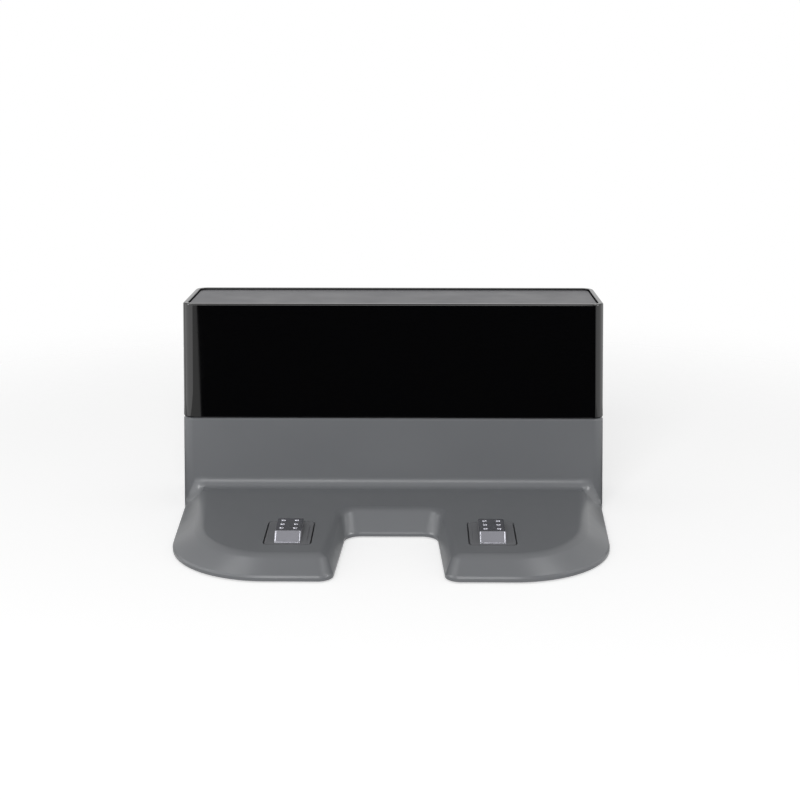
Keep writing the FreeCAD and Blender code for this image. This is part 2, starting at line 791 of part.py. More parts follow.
def power_inlet():
    """Two-pin mains inlet, pushed through the bay's side wall from inside."""
    body = new_body("power_inlet")
    shell = oblong(sideways(body, "shell", BAY_LEFT), BAY_Y, "inlet_level", "inlet_width", "inlet_height")
    pad(body, shell, "inlet_length", reverse=True)
    flange = oblong(sideways(body, "flange", f"{BAY_LEFT} - wall"), BAY_Y, "inlet_level",
                    "inlet_width + 2 * inlet_flange_rim", "inlet_height + 2 * inlet_flange_rim")
    pad(body, flange, "inlet_flange", reverse=True)
    mouth = rectangle(sideways(body, "socket", BAY_LEFT), f"{BAY_Y} - socket_width / 2",
                      f"{BAY_Y} + socket_width / 2", "inlet_level - socket_height / 2",
                      "inlet_level + socket_height / 2", "socket_corner")
    pocket(body, mouth, "socket_depth")
    slots = sideways(body, "blade_slots", BAY_LEFT)
    for y, z in PINS:
        oblong(slots, y, z, "blade_width + 2 * blade_gap", "blade + 2 * blade_gap")
    pocket(body, slots, "inlet_length")


def inlet_pins():
    """Round pins in the socket, with flat blades that reach down to the power board."""
    body = new_body("inlet_pins")
    tips = circles(sideways(body, "tips", f"{BAY_LEFT} - pin_tip"), PINS, "pin")
    pad(body, tips, "socket_depth - pin_tip", reverse=True)
    root = f"{BAY_LEFT} - socket_depth + blade"
    steps = ("blade_reach", "(blade_reach - blade_step)")
    for name, (y, level), reach in zip(("upper", "lower"), PINS, steps):
        end = f"{BAY_LEFT} - inlet_length - {reach}"
        above, below = f"{level} + blade / 2", f"{level} - blade / 2"
        bend = f"{end} + blade"
        blade = facing(body, f"{name}_blade", y)
        outline(blade, [(root, above, None), (end, above, None), (end, BOARD_TOP, None),
                        (bend, BOARD_TOP, None), (bend, below, None), (root, below, None)])
        pad(body, blade, "blade_width", symmetric=True)


def on_board(name):
    """A place on the power board, from its middle."""
    return f"({name}_x - board_offset)", f"({BOARD_Y} + {name}_y)"


def block(label, x, y, level, width, depth, height):
    """A plain block about a middle point."""
    item = document.addObject("Part::Box", label)
    for side, size in (("Length", width), ("Width", depth), ("Height", height)):
        item.setExpression(side, bound(size))
    places = (f"{x} - ({width}) / 2", f"{y} - ({depth}) / 2", level)
    for axis, place in zip("xyz", places):
        item.setExpression(f"Placement.Base.{axis}", bound(place))


def board_parts():
    """The power board and what stands on it."""
    block("power_board", "-board_offset", BOARD_Y, BOARD_UNDER, "board_width", "board_depth", "board")
    blocks = {"line_filter": "filter", "fuse": "fuse", "output_capacitor": "output_capacitor"}
    for label, name in blocks.items():
        block(label, *on_board(name), BOARD_TOP, f"{name}_width", f"{name}_depth", f"{name}_height")
    can = document.addObject("Part::Cylinder", "mains_capacitor")
    can.setExpression("Radius", bound("mains_capacitor_diameter / 2"))
    can.setExpression("Height", bound("mains_capacitor_height"))
    for axis, place in zip("xyz", (*on_board("mains_capacitor"), BOARD_TOP)):
        can.setExpression(f"Placement.Base.{axis}", bound(place))
    x, y = on_board("sink")
    body = new_body("heat_sink")
    toe = f"{y} - sink_foot / 2"
    back = f"{y} + sink_foot / 2"
    face = f"{back} - sink_plate"
    top = f"{BOARD_TOP} + sink_height"
    step = f"{BOARD_TOP} + sink_plate"
    angle = outline(sideways(body, "angle", x), [
        (toe, BOARD_TOP, None), (back, BOARD_TOP, None), (back, top, None),
        (face, top, None), (face, step, None), (toe, step, None)])
    pad(body, angle, "sink_width", symmetric=True)


def transformer():
    """Ferrite core with two windows, and the winding round its middle leg."""
    x, y = on_board("core")
    core = new_body("transformer_core")
    face = facing(core, "face", y)
    top = f"{BOARD_TOP} + core_height"
    rectangle(face, f"{x} - core_width / 2", f"{x} + core_width / 2", BOARD_TOP, top)
    inner = "(core_width / 2 - core_leg)"
    for left, right in ((f"{x} - {inner}", f"{x} - core_leg"), (f"{x} + core_leg", f"{x} + {inner}")):
        rectangle(face, left, right, f"{BOARD_TOP} + core_leg", f"{top} - core_leg")
    pad(core, face, "core_depth", symmetric=True)
    winding = new_body("transformer_winding")
    ring = flat(winding, "ring", f"{BOARD_TOP} + core_leg + winding_gap")
    oblong(ring, x, y, "2 * core_leg + 2 * winding_gap", "core_depth + 2 * winding_gap")
    right, back = f"{x} + core_leg + winding_wall", f"{y} + core_depth / 2 + winding_wall"
    left, front = f"{x} - core_leg - winding_wall", f"{y} - core_depth / 2 - winding_wall"
    cut = "winding_corner"
    outline(ring, [
        (f"{left} + {cut}", front, None), (f"{right} - {cut}", front, None),
        (right, f"{front} + {cut}", None), (right, f"{back} - {cut}", None),
        (f"{right} - {cut}", back, None), (f"{left} + {cut}", back, None),
        (left, f"{back} - {cut}", None), (left, f"{front} + {cut}", None)])
    pad(winding, ring, "core_height - 2 * core_leg - 2 * winding_gap")


def emitter_holder():
    """Bracket behind the window: an aperture for each emitter, and dividers that part the beams."""
    body = new_body("emitter_holder")
    left, right = "-holder_width / 2", "holder_width / 2"
    foot = rectangle(flat(body, "foot", "seam_height"), left, right, HOLDER_FRONT,
                     f"{HOLDER_FRONT} + holder_depth")
    for x, y in PEGS:
        oblong(foot, x, y, "peg + 2 * peg_gap", "peg + 2 * peg_gap")
    pad(body, foot, "holder_foot")
    wall = rectangle(flat(body, "wall", "seam_height"), left, right, HOLDER_FRONT, HOLDER_BACK)
    pad(body, wall, "holder_height")
    fins = flat(body, "dividers", "seam_height + rim_height + rim_gap")
    for middle in ("-divider_spread / 2", "0", "divider_spread / 2"):
        rectangle(fins, f"{middle} - divider / 2", f"{middle} + divider / 2",
                  f"{FACE} + wall + divider_gap", f"{HOLDER_FRONT} + divider")
    pad(body, fins, "holder_height - rim_height - rim_gap")
    apertures = facing(body, "apertures", HOLDER_FRONT)
    for x in BEAMS.values():
        oblong(apertures, x, "beam_height", "aperture", "aperture")
    pocket(body, apertures, "holder_wall")
    clips = flat(body, "clips", "beam_height - clip_width / 2")
    for way in ("-", ""):
        edge = f"{way}({BEACON_WIDTH} / 2 + clip_gap)"
        outer = f"{way}({BEACON_WIDTH} / 2 + clip_gap + clip)"
        tip = f"{way}({BEACON_WIDTH} / 2 + clip_gap - clip_hook)"
        hook = f"{BEACON_BACK} + clip_gap"
        root = f"{HOLDER_BACK} - clip_gap"
        outline(clips, [(edge, root, None), (outer, root, None), (outer, f"{hook} + clip", None),
                        (tip, hook, None), (edge, hook, None)])
    pad(body, clips, "clip_width")


def beacon():
    """The emitter board and its four infrared emitters, each with a square cup."""
    block("emitter_board", "0", f"{HOLDER_BACK} + board / 2", "beam_height - beacon_board_height / 2",
          BEACON_WIDTH, "board", "beacon_board_height")
    for side, x in BEAMS.items():
        body = new_body(f"ir_emitter_{side}")
        case = facing(body, "case", HOLDER_BACK)
        pad(body, oblong(case, x, "beam_height", "emitter_width", "emitter_width"), "emitter_depth")
        cup = facing(body, "cup", f"{HOLDER_BACK} - emitter_depth")
        pocket(body, oblong(cup, x, "beam_height", "emitter_cup", "emitter_cup"), "emitter_cup_depth")


def straps():
    """Stamped straps from the contact springs to the power board, each with a tab bent up to it."""
    contact = f"{WELL} + {SPRING_END} + strap_gap"
    landing = f"{BOARD_Y} - board_depth / 2 + strap_inset"
    half = "strap_width / 2"
    left = "-(contact_spacing / 2)"
    right = "contact_spacing / 2"
    turn = "(strap_x - board_offset)"
    cross = f"({FACE} - strap_setback)"
    routes = {
        "left": (left, [(f"{left} - {half}", contact), (f"{left} + {half}", contact),
                        (f"{left} + {half}", landing), (f"{left} - {half}", landing)]),
        "right": (turn, [(f"{right} - {half}", contact), (f"{right} + {half}", contact),
                         (f"{right} + {half}", f"{cross} + {half}"),
                         (f"{turn} + {half}", f"{cross} + {half}"),
                         (f"{turn} + {half}", landing), (f"{turn} - {half}", landing),
                         (f"{turn} - {half}", f"{cross} - {half}"),
                         (f"{right} - {half}", f"{cross} - {half}")]),
    }
    for side, (tab, corners) in routes.items():
        body = new_body(f"contact_strap_{side}")
        pad(body, outline(flat(body, "run", PLATE_TOP), [(x, y, None) for x, y in corners]), "strap")
        upstand = rectangle(flat(body, "tab", PLATE_TOP), f"{tab} - {half}", f"{tab} + {half}",
                            f"{landing} - strap", landing)
        pad(body, upstand, "board_lift")


def beacon_ribbon():
    """Flat cable from the power board up through the deck to the emitter board."""
    x, y = on_board("ribbon")
    body = new_body("beacon_ribbon")
    front, back = f"{y} - ribbon / 2", f"{y} + ribbon / 2"
    level = "beam_height - ribbon_drop"
    path = outline(sideways(body, "path", x), [
        (front, BOARD_TOP, None), (back, BOARD_TOP, None), (back, level, None), (BEACON_BACK, level, None),
        (BEACON_BACK, f"{level} - ribbon", None), (front, f"{level} - ribbon", None)])
    pad(body, path, "ribbon_width", symmetric=True)


def write_parts():
    """Check every object and write each sub-part to its own file."""
    document.recompute()
    for item in document.Objects:
        if {"Invalid", "Error"} & set(item.State):
            raise RuntimeError(f"{item.Label} failed: {item.State}")
        if item.isDerivedFrom("PartDesign::Pocket") and item.Shape.Volume >= item.BaseFeature.Shape.Volume:
            raise RuntimeError(f"{item.Label} cuts nothing")
    kinds = ("PartDesign::Body", "Part::Box", "Part::Cylinder")
    pieces = [item for item in document.Objects if item.TypeId in kinds]
    for item in pieces:
        if item.Shape.isNull() or not item.Shape.isValid():
            raise RuntimeError(f"{item.Label} has no sound shape")
    os.makedirs("parts", exist_ok=True)
    for item in pieces:
        item.Shape.exportStep(f"parts/{item.Label}.step")


housing()
ir_window()
top_cover()
bottom_plate()
foot_pads()
base_screws()
for side, sign in SIDES.items():
    contact_carrier(side, sign)
    contact_plate(side, sign)
    contact_spring(side, sign)
power_inlet()
inlet_pins()
board_parts()
transformer()
emitter_holder()
beacon()
straps()
beacon_ribbon()
write_parts()
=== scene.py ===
"""Robot vacuum charging dock: finishes, rounded edges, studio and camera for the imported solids."""

import math

import bmesh
import bpy
from mathutils import Matrix, Vector


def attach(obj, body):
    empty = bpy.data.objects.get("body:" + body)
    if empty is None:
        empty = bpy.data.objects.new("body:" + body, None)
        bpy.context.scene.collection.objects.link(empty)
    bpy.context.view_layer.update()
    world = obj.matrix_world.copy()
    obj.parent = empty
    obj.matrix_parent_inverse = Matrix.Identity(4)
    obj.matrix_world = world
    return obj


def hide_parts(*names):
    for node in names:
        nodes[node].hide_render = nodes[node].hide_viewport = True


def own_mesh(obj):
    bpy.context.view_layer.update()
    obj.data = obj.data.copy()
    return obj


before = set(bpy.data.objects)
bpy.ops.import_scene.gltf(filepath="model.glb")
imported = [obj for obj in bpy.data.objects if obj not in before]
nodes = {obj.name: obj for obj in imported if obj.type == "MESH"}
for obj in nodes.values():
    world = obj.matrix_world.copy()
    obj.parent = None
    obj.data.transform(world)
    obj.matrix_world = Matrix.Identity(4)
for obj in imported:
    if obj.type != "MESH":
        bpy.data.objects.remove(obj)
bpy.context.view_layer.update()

MM = 0.001
SIDES = (("left", -1), ("right", 1))

# Joining facets, in metres, and rounding edges, in millimetres
MERGE = 1e-6
FLAT_ANGLE = math.radians(0.6)
ROUNDED_FROM = math.radians(28)
EDGE_STEPS = 3
FLAT_WEIGHT = 60
SHELL_EDGE = 0.3
STRIP_EDGE = 0.12

# Ramp and contacts, in millimetres, as in the solids
WELL_Y = -39.0
WELL_X = 47.3
RAMP_AT_WELL = 11.1
RAMP_SLOPE = 0.03964
STRIP = 0.5
STRIP_WIDTH = 12.0
STRIP_LEVEL = 4.08
STRIP_BACK = 10.1
STRIP_TAIL = -3.6
TOE = -12.5
TOE_LEVEL = 0.58
TOE_ROLL = 0.4
ROLL = 0.9
ROLL_EDGE = 0.3
ROLL_STEPS = 6
BUMP_WIDTH = 2.4
BUMP_HEIGHT = 0.6
BUMP_COLUMN = 6.3
BUMP_ROW = 4.85
BUMP_SHIFT = 0.7
BUMP_COLUMNS = 2
BUMP_ROWS = 3
BUMP_SEGMENTS = 28
BUMP_RINGS = 16

# A strip's fold from the side, over and under: how far along the ramp, how far above it, bend radius
FOLD_OVER = (
    (TOE + TOE_ROLL, TOE_LEVEL, 0), (-12.0, TOE_LEVEL, 0.15), (-7.48, STRIP_LEVEL, 1.1),
    (8.39, STRIP_LEVEL, 1.0), (STRIP_BACK, 0, 0.6), (STRIP_BACK, STRIP_TAIL, 0))
FOLD_UNDER = (
    (TOE + TOE_ROLL, TOE_LEVEL - STRIP, 0), (-11.68, TOE_LEVEL - STRIP, 0.5),
    (-6.98, STRIP_LEVEL - STRIP, 0.5), (8.18, STRIP_LEVEL - STRIP, 0.4),
    (STRIP_BACK - STRIP, 0, 0.2), (STRIP_BACK - STRIP, STRIP_TAIL, 0))

# Tower and base where they meet, in millimetres, as in the solids
TOWER_FACE = 24.1
TOWER_BACK = 74.1
TOWER_TOP = 108.3
TOWER_HALF = 105.0
TOWER_LEAN = math.tan(math.radians(1.78))
TOWER_CORNER = 6.0
TOWER_WALL = 2.4
DECK = 49.6
RAMP_LOW = 9.0
RAMP_BACK = 13.6
LIP_TOP = 3.3
LIP_LOW = 2.3
LIP_BEND = 2.0
FLOOR_BEND = 1.2
BASE_UNDER = 0.8
BASE_END = 32.1
FOOT_CURVE = 5.2

# Half widths of the base: at its end, and what they lose with each millimetre forwards
FLOOR_HALF = (107.74, 0.0606)
LIP_HALF = (107.24, 0.0609)
RAMP_HALF = (98.34, 0.1146)

# Rounding of the ramp's border, in millimetres
BORDER = 3.0
BORDER_STEPS = 6
BORDER_SPACING = 4.0
STRAIGHT_LEG = 8.0
SNAP = 0.25
FLANK_BEND = math.radians(9)
SAME_WAY = math.radians(0.8)
SHARP = math.radians(24)

# How far upwards the ramp and the flank face, from 0 to 1
RAMP_FACING = 0.995
FLANK_FACING = (0.05, 0.95)

# How near counts as at a height, the foot line, the deck or a well's rear, in millimetres
NEAR_HEIGHT = 0.05
NEAR_FOOT = 0.3
NEAR_DECK = 0.3
NEAR_REAR = 0.01

# Corner sweep, in millimetres: it widens as the flank slants, in radians, and narrows near the floor
SUNK = 0.03
SWEEP_START = 4.9
SWEEP_FLANK = 7.5
SWEEP_END = 4.5
SWEEP_ROOT = 0.9
SWEEP_INSET = 16.0
SWEEP_WIDENS = (0.02, 0.82)
SWEEP_NARROWS = (LIP_TOP + 6, LIP_TOP - 2)
SWEEP_STEPS = 14
SECTION_STEPS = 8
SECTION_PARTS = 4
SLANT_SPAN = 4
MEETING_TRIES = 10

# The middle of a noise texture's values, which gloss follows
NOISE_LOW = 0.3
NOISE_HIGH = 0.7

# Studio, in metres
CARD_HEIGHT = 0.0004
FRONT_CARD = ((-0.1181, -0.1), (-0.2319, -0.78), (0.7, -0.78), (0.2, -0.1))
SIDE_CARD = ((0.112, -0.08), (0.17, -0.04), (0.24, 0.22), (0.112, 0.22))
RAMP_MIDDLE = (0, -0.02, 0.02)
SENSOR = 36
CLIP_START = 0.01


# Finishes


def add_node(tree, kind, inputs=None, **settings):
    """A node with its settings, and its inputs given as values or as other nodes' outputs."""
    made = tree.nodes.new(kind)
    for setting, value in settings.items():
        setattr(made, setting, value)
    for socket, value in (inputs or {}).items():
        if isinstance(value, bpy.types.NodeSocket):
            tree.links.new(value, made.inputs[socket])
        else:
            made.inputs[socket].default_value = value
    return made


def tone(red, green, blue):
    """A colour written in display values from 0 to 255, as the shader takes it."""
    def linear(value):
        share = value / 255
        return share / 12.92 if share <= 0.04045 else ((share + 0.055) / 1.055) ** 2.4

    return (linear(red), linear(green), linear(blue), 1)


def finish(name, colour, roughness, values=None):
    """A finish with its own colour and gloss, and any other shader values by name."""
    material = bpy.data.materials.new(name)
    material.use_nodes = True
    shader = material.node_tree.nodes["Principled BSDF"]
    shader.inputs["Base Color"].default_value = tone(*colour)
    shader.inputs["Roughness"].default_value = roughness
    for socket, value in (values or {}).items():
        shader.inputs[socket].default_value = value
    return material


def steer(material, socket, output):
    """Let a node's output set one of a finish's shader values."""
    tree = material.node_tree
    tree.links.new(output, tree.nodes["Principled BSDF"].inputs[socket])
    return material


def pattern(material, kind, scale, stretch=(1, 1, 1)):
    """A texture laid out in the dock's own metres."""
    tree = material.node_tree
    spot = add_node(tree, "ShaderNodeTexCoord")
    turn = add_node(tree, "ShaderNodeMapping", {"Vector": spot.outputs["Object"], "Scale": stretch})
    return add_node(tree, kind, {"Vector": turn.outputs["Vector"], "Scale": scale})


def grain(material, scale, depth, strength, stretch=(1, 1, 1)):
    """Fine relief over the whole surface, its depth in millimetres."""
    texture = pattern(material, "ShaderNodeTexNoise", scale, stretch)
    relief = add_node(material.node_tree, "ShaderNodeBump", {
        "Strength": strength, "Distance": depth * MM, "Height": texture.outputs[0]})
    return steer(material, "Normal", relief.outputs["Normal"])


def wandering_gloss(material, scale, low, high, stretch=(1, 1, 1)):
    """Gloss that wanders a little over the surface."""
    texture = pattern(material, "ShaderNodeTexNoise", scale, stretch)
    span = add_node(material.node_tree, "ShaderNodeMapRange", {
        "Value": texture.outputs[0], "From Min": NOISE_LOW, "From Max": NOISE_HIGH,
        "To Min": low, "To Max": high})
    return steer(material, "Roughness", span.outputs["Result"])


def two_tone(material, texture, first, second, low, high):
    """Colour that goes from one tone to the other where a texture rises from low to high."""
    ramp = add_node(material.node_tree, "ShaderNodeValToRGB", {"Fac": texture.outputs["Fac"]})
    start, end = ramp.color_ramp.elements
    start.position = low
    start.color = tone(*first)
    end.position = high
    end.color = tone(*second)
    return steer(material, "Base Color", ramp.outputs["Color"])


def moulded(name, colour, low, high):
    """Satin moulded plastic: a spark-eroded grain too fine to see singly."""
    material = finish(name, colour, (low + high) / 2, {"Specular IOR Level": 0.35})
    grain(material, scale=5200, depth=0.02, strength=0.12)
    return wandering_gloss(material, 60, low, high)


def plated(name, colour, low, high, stretch):
    """Bright metal with rolling marks along the strip."""
    material = finish(name, colour, (low + high) / 2, {"Metallic": 1.0})
    grain(material, scale=900, depth=0.0005, strength=0.05, stretch=stretch)
    return wandering_gloss(material, 700, low, high, stretch)


def laminate():
    """Board with green mask over copper tracks."""
    material = finish("board_laminate", (30, 78, 52), 0.38)
    tracks = pattern(material, "ShaderNodeTexBrick", scale=160)
    tracks.inputs["Mortar Size"].default_value = 0.03
    return two_tone(material, tracks, (28, 72, 48), (58, 112, 74), low=0.2, high=0.8)


def wound_tape():
    """Yellow film tape, its turns laid over each other."""
    material = finish("winding_tape", (206, 176, 70), 0.35)
    turns = pattern(material, "ShaderNodeTexWave", scale=190)
    turns.bands_direction = "Y"
    return two_tone(material, turns, (188, 156, 52), (216, 188, 88), low=0.1, high=0.9)


def window_gloss():
    """Black plastic polished to a mirror."""
    material = finish("window_black", (7, 7, 8), 0.03, {"Specular IOR Level": 0.4})
    return wandering_gloss(material, 25, 0.02, 0.04)


def rubber():
    """Soft black rubber with a coarse grain."""
    material = finish("foot_rubber", (34, 34, 35), 0.8, {"Specular IOR Level": 0.25})
    return grain(material, scale=2600, depth=0.05, strength=0.35)


def ferrite():
    """Pressed grey ferrite, dull and a little rough."""
    return grain(finish("core_ferrite", (62, 61, 62), 0.62), scale=3200, depth=0.03, strength=0.2)


def dark_resin():
    """Violet resin that lets a little light through."""
    material = finish("emitter_resin", (58, 40, 72), 0.12, {"Transmission Weight": 0.35})
    return wandering_gloss(material, 200, 0.08, 0.16)


shell_grey = moulded("shell_grey", (113, 115, 118), 0.3, 0.36)
cover_grey = moulded("cover_grey", (86, 86, 90), 0.38, 0.46)
carrier_grey = moulded("carrier_grey", (110, 111, 114), 0.38, 0.46)
plate_black = moulded("plate_black", (38, 38, 40), 0.5, 0.6)
holder_black = moulded("holder_black", (26, 26, 28), 0.5, 0.6)
inlet_black = moulded("inlet_black", (24, 24, 25), 0.36, 0.46)
window_black = window_gloss()
foot_rubber = rubber()
contact_nickel = plated("contact_nickel", (134, 134, 140), 0.22, 0.26, (0.2, 0.04, 0.04))
pin_nickel = plated("pin_nickel", (200, 198, 192), 0.2, 0.3, (1, 1, 6))
spring_steel = plated("spring_steel", (168, 168, 170), 0.25, 0.36, (6, 1, 1))
screw_steel = plated("screw_steel", (120, 120, 124), 0.3, 0.42, (1, 1, 1))
sink_aluminium = plated("sink_aluminium", (196, 198, 200), 0.36, 0.48, (1, 1, 8))
strap_brass = plated("strap_brass", (206, 172, 98), 0.28, 0.4, (6, 1, 1))
board_laminate = laminate()
winding_tape = wound_tape()
filter_case = moulded("filter_case", (52, 78, 132), 0.34, 0.42)
fuse_case = moulded("fuse_case", (60, 58, 56), 0.34, 0.42)
capacitor_sleeve = wandering_gloss(finish("capacitor_sleeve", (36, 42, 60), 0.28), 90, 0.22, 0.34)
core_ferrite = ferrite()
ribbon_white = wandering_gloss(finish("ribbon_white", (206, 206, 200), 0.5), 120, 0.44, 0.56)
emitter_resin = dark_resin()


# Pieces


def body_of(name):
    """The moving body that a solid belongs to."""
    for side, _ in SIDES:
        if name in (f"contact_carrier_{side}", f"contact_plate_{side}"):
            return f"contact_{side}"
    return "dock"


def dress(name, material):
    """Give a solid its finish as it is."""
    mesh = nodes[name].data
    mesh.materials.clear()
    mesh.materials.append(material)


def place(piece, name, material):
    """Let a piece stand for a solid, on the same body and with the same finish."""
    if not piece.data.materials:
        piece.data.materials.append(material)
    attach(piece, body_of(name))
    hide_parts(name)


def in_scene(name, data):
    """A mesh, a lamp or a camera as an object of the scene."""
    made = bpy.data.objects.new(name, data)
    bpy.context.scene.collection.objects.link(made)
    return made


def new_piece(name, shape):
    """A piece made from a shape that is then no longer needed."""
    mesh = bpy.data.meshes.new(name)
    shape.to_mesh(mesh)
    shape.free()
    return in_scene(name, mesh)


def joined_copy(name):
    """A solid's own mesh with its loose facets joined."""
    node = nodes[name]
    shape = bmesh.new()
    shape.from_mesh(node.data)
    shape.transform(node.matrix_world)
    bmesh.ops.remove_doubles(shape, verts=shape.verts, dist=MERGE)
    return shape


def flat_copy(name):
    """A solid's joined mesh with one facet for each flat."""
    shape = joined_copy(name)
    bmesh.ops.dissolve_limit(shape, angle_limit=FLAT_ANGLE, verts=shape.verts, edges=shape.edges)
    return shape


def skin(rings, smooth_to=0):
    """A closed shape over rings of points, smooth up to a place in each ring."""
    shape = bmesh.new()
    rings = [[shape.verts.new(spot) for spot in ring] for ring in rings]
    count = len(rings[0])
    for first, second in zip(rings, rings[1:]):
        for index in range(count):
            after = (index + 1) % count
            face = shape.faces.new((first[index], first[after], second[after], second[index]))
            face.smooth = index < smooth_to
    shape.faces.new(rings[0])
    shape.faces.new(rings[-1])
    bmesh.ops.recalc_face_normals(shape, faces=shape.faces)
    return shape


def round_edges(piece, width, chosen="ANGLE"):
    """Round the sharp edges, or those marked by weight, and keep the flats flat."""
    piece.data.shade_smooth()
    rounding = piece.modifiers.new("edge_rounding", "BEVEL")
    rounding.width = width * MM
    rounding.segments = EDGE_STEPS
    rounding.limit_method = chosen
    rounding.angle_limit = ROUNDED_FROM
    rounding.miter_outer = "MITER_ARC"
    shading = piece.modifiers.new("flat_shading", "WEIGHTED_NORMAL")
    shading.keep_sharp = True
    shading.weight = FLAT_WEIGHT


def softened(name, material, width):
    """A solid with its sharp edges rounded."""
    piece = new_piece(f"{name}_soft", flat_copy(name))
    round_edges(piece, width)
    place(piece, name, material)


def edge_middle(edge):
    """The middle of an edge, in millimetres."""
    return (edge.verts[0].co + edge.verts[1].co) / (2 * MM)


def ramp_border(shape):
    """The convex edges between the ramp and its flank, from one side of the tower round to the other."""
    shape.normal_update()
    border = []
    for edge in shape.edges:
        middle = edge_middle(edge)
        if edge.is_convex and middle.y < TOWER_FACE - FOOT_CURVE and RAMP_LOW < middle.z < RAMP_BACK:
            facing = sorted(face.normal.z for face in edge.link_faces)
            if facing[-1] > RAMP_FACING and FLANK_FACING[0] < facing[0] < FLANK_FACING[1]:
                border.append(edge)
    return border


def flank_faces(border):
    """The facets of the flank: those that follow on smoothly from the ramp's border."""
    found = {min(edge.link_faces, key=lambda face: face.normal.z) for edge in border}
    edges = set(border)
    ahead = list(found)
    while ahead:
        for edge in ahead.pop().edges:
            if edge in edges or edge.calc_face_angle(math.pi) > FLANK_BEND:
                continue
            for face in edge.link_faces:
                heights = [vert.co.z / MM for vert in face.verts]
                on_flank = min(heights) > LIP_TOP - NEAR_HEIGHT and max(heights) < RAMP_BACK + NEAR_HEIGHT
                if face not in found and on_flank:
                    found.add(face)
                    ahead.append(face)
    return found


def ramp_faces(border):
    """The flat facets of the ramp, inside its border."""
    found = {max(edge.link_faces, key=lambda face: face.normal.z) for edge in border}
    ahead = list(found)
    while ahead:
        for edge in ahead.pop().edges:
            for face in edge.link_faces:
                if face not in found and edge.calc_face_angle(math.pi) < FLAT_ANGLE:
                    found.add(face)
                    ahead.append(face)
    return found


def take_out(shape, faces):
    """Take facets out of a shape, in the shape's own order."""
    bmesh.ops.delete(shape, geom=[face for face in shape.faces if face in faces], context="FACES")


def walk(edges, start, avoid=()):
    """The vertices along a chain of edges, from its start."""
    line = [start]
    left = set(edges)
    while True:
        step = next((edge for edge in line[-1].link_edges if edge in left and edge not in avoid), None)
        if step is None:
            return line
        left.remove(step)
        line.append(step.other_vert(line[-1]))


def closed_loops(shape, edges):
    """The closed chains that some edges make, the longest first."""
    loops = []
    left = set(edges)
    for edge in edges:
        if edge in left:
            loop = walk(left, edge.verts[0])[:-1]
            left -= {shape.edges.get(pair) for pair in zip(loop, loop[1:] + loop[:1])}
            loops.append(loop)
    return sorted(loops, key=len, reverse=True)


def divide(shape, edge, length):
    """Put vertices along an edge, so far apart."""
    count = int(edge.calc_length() / length)
    start, end = edge.verts
    for step in range(count, 0, -1):
        _, start = bmesh.utils.edge_split(edge, start, 1 / (step + 1))
        edge = shape.edges.get((start, end))


def lengths_along(line):
    """How far along a chain of vertices each one lies."""
    lengths = [0.0]
    for first, second in zip(line, line[1:]):
        lengths.append(lengths[-1] + (second.co - first.co).length)
    return lengths


def leg_ends(line):
    """Where a chain goes from straight to curved and back, as lengths along it."""
    lengths = lengths_along(line)
    ways = [(second.co - first.co).to_2d() for first, second in zip(line, line[1:])]
    ends = []
    start = 0
    for index in range(len(ways)):
        if index + 1 < len(ways) and ways[index].angle(ways[index + 1]) < SAME_WAY:
            continue
        if lengths[index + 1] - lengths[start] > STRAIGHT_LEG * MM:
            ends += [lengths[start], lengths[index + 1]]
        start = index + 1
    return ends


def carried_over(reached, ends, other_ends):
    """A length along one chain, as the length along another with the same legs."""
    index = next(k for k in range(1, len(ends)) if reached <= ends[k] or k == len(ends) - 1)
    share = (reached - ends[index - 1]) / (ends[index] - ends[index - 1])
    return other_ends[index - 1] + (other_ends[index] - other_ends[index - 1]) * share


def lip_vertex(shape, lip, wanted):
    """The vertex at a length along the lip: one that is close by, or else a new one."""
    lengths = lengths_along(lip)
    index = max(k for k in range(len(lip) - 1) if lengths[k] <= wanted)
    if wanted - lengths[index] < SNAP * MM:
        return lip[index]
    if lengths[index + 1] - wanted < SNAP * MM:
        return lip[index + 1]
    share = (wanted - lengths[index]) / (lengths[index + 1] - lengths[index])
    edge = shape.edges.get((lip[index], lip[index + 1]))
    _, made = bmesh.utils.edge_split(edge, lip[index], share)
    lip.insert(index + 1, made)
    return made


def square_flank(shape):
    """Lay the flank's facets straight down from the ramp's border, so that it can be rounded."""
    for edge in ramp_border(shape):
        divide(shape, edge, BORDER_SPACING * MM)
    border = set(ramp_border(shape))
    faces = flank_faces(border)
    rim = {edge for face in faces for edge in face.edges
           if sum(link in faces for link in edge.link_faces) == 1 and edge not in border}
    ends = [vert for edge in border for vert in edge.verts
            if sum(link in border for link in vert.link_edges) == 1]
    start = min(ends, key=lambda vert: vert.co.x)
    inner = walk(border, start)
    outer = walk(rim, start, border)
    take_out(shape, faces)
    low = [index for index, vert in enumerate(outer) if vert.co.z < (LIP_TOP + NEAR_HEIGHT) * MM]
    down, lip, up = outer[:low[0]], outer[low[0]:low[-1] + 1], outer[low[-1] + 1:]

    # The lip's first and last legs start level with the border's, so that facets there lie square
    inner_ends, lip_ends = leg_ends(inner), leg_ends(lip)
    lip_ends[0] += lip[0].co.y - inner[0].co.y
    lip_ends[-1] -= lip[-1].co.y - inner[-1].co.y
    feet = []
    for reached in lengths_along(inner)[1:-1]:
        feet.append(lip_vertex(shape, lip, carried_over(reached, inner_ends, lip_ends)))

    chain = down + lip + up
    stops = [0] + [chain.index(vert) for vert in feet] + [len(chain) - 1]
    for index in range(len(inner) - 1):
        ring = [inner[index], inner[index + 1]] + chain[stops[index]:stops[index + 1] + 1][::-1]
        ring = list(dict.fromkeys(ring))
        if len(ring) > 2:
            shape.faces.new(ring)
    bmesh.ops.recalc_face_normals(shape, faces=shape.faces)


